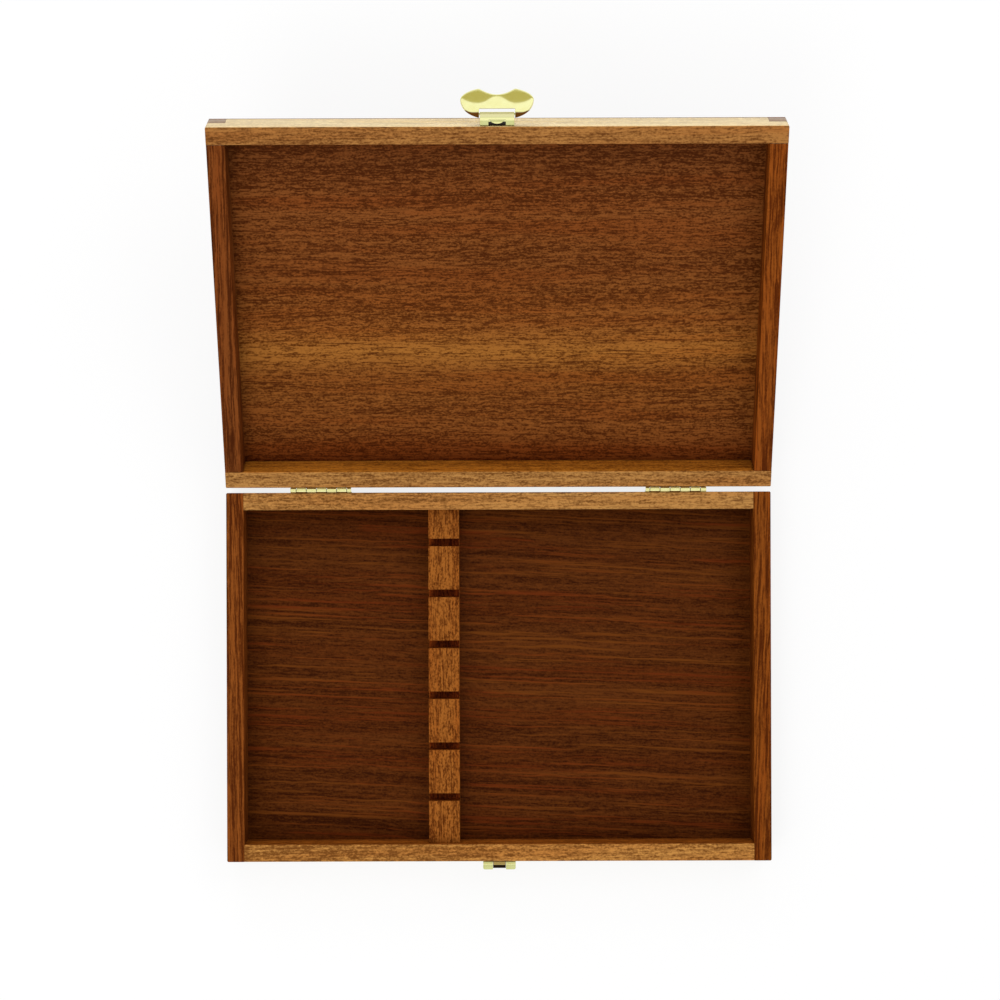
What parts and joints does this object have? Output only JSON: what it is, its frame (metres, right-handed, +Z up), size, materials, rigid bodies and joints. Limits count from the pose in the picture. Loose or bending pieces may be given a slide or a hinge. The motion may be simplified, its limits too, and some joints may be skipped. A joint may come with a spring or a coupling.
{
  "type": "hinged wooden cutlery box",
  "caption": "Shallow hinged wooden box with finger-jointed frames, a slotted knife rack inside, small butt hinges and a tilting flap latch on the front.",
  "frame": {"origin": "centre of the base's underside", "axes": "+X to the right as seen from the latch side, +Y towards the hinges, +Z up; the lid stands open at 155.3 degrees"},
  "size_m": [0.27, 0.3728, 0.104],
  "materials": {
    "wood_light": "satin, oiled",
    "wood_dark": "satin, oiled",
    "wood_panel": "satin, oiled",
    "brass": "plated, polished"
  },
  "bodies": {
    "base": {"base_front_rail": "wood_light", "base_back_rail": "wood_light", "base_left_rail": "wood_dark", "base_right_rail": "wood_dark", "base_panel": "wood_panel", "knife_rack": "wood_light", "hinge_left_base_leaf": "brass", "hinge_left_pin": "brass", "hinge_right_base_leaf": "brass", "hinge_right_pin": "brass", "hinge_nails_base": "brass", "latch_keeper": "brass", "latch_nails_base": "brass"},
    "lid": {"lid_front_rail": "wood_light", "lid_back_rail": "wood_light", "lid_left_rail": "wood_dark", "lid_right_rail": "wood_dark", "lid_panel": "wood_panel", "hinge_left_lid_leaf": "brass", "hinge_right_lid_leaf": "brass", "hinge_nails_lid": "brass", "latch_bracket": "brass", "latch_nails_lid": "brass"},
    "flap": {"latch_flap": "brass"}
  },
  "joints": [
    {"name": "lid_hinge", "type": "hinge", "parent": "base", "child": "lid", "pos_m": [0, 0.0927, 0.0206], "axis": [1, 0, 0], "range_deg": [0, 155.3]},
    {"name": "flap_pivot", "type": "hinge", "parent": "lid", "child": "flap", "pos_m": [0, 0.26553, 0.09882], "axis": [1, 0, 0], "range_deg": [-104, 90]}
  ]
}
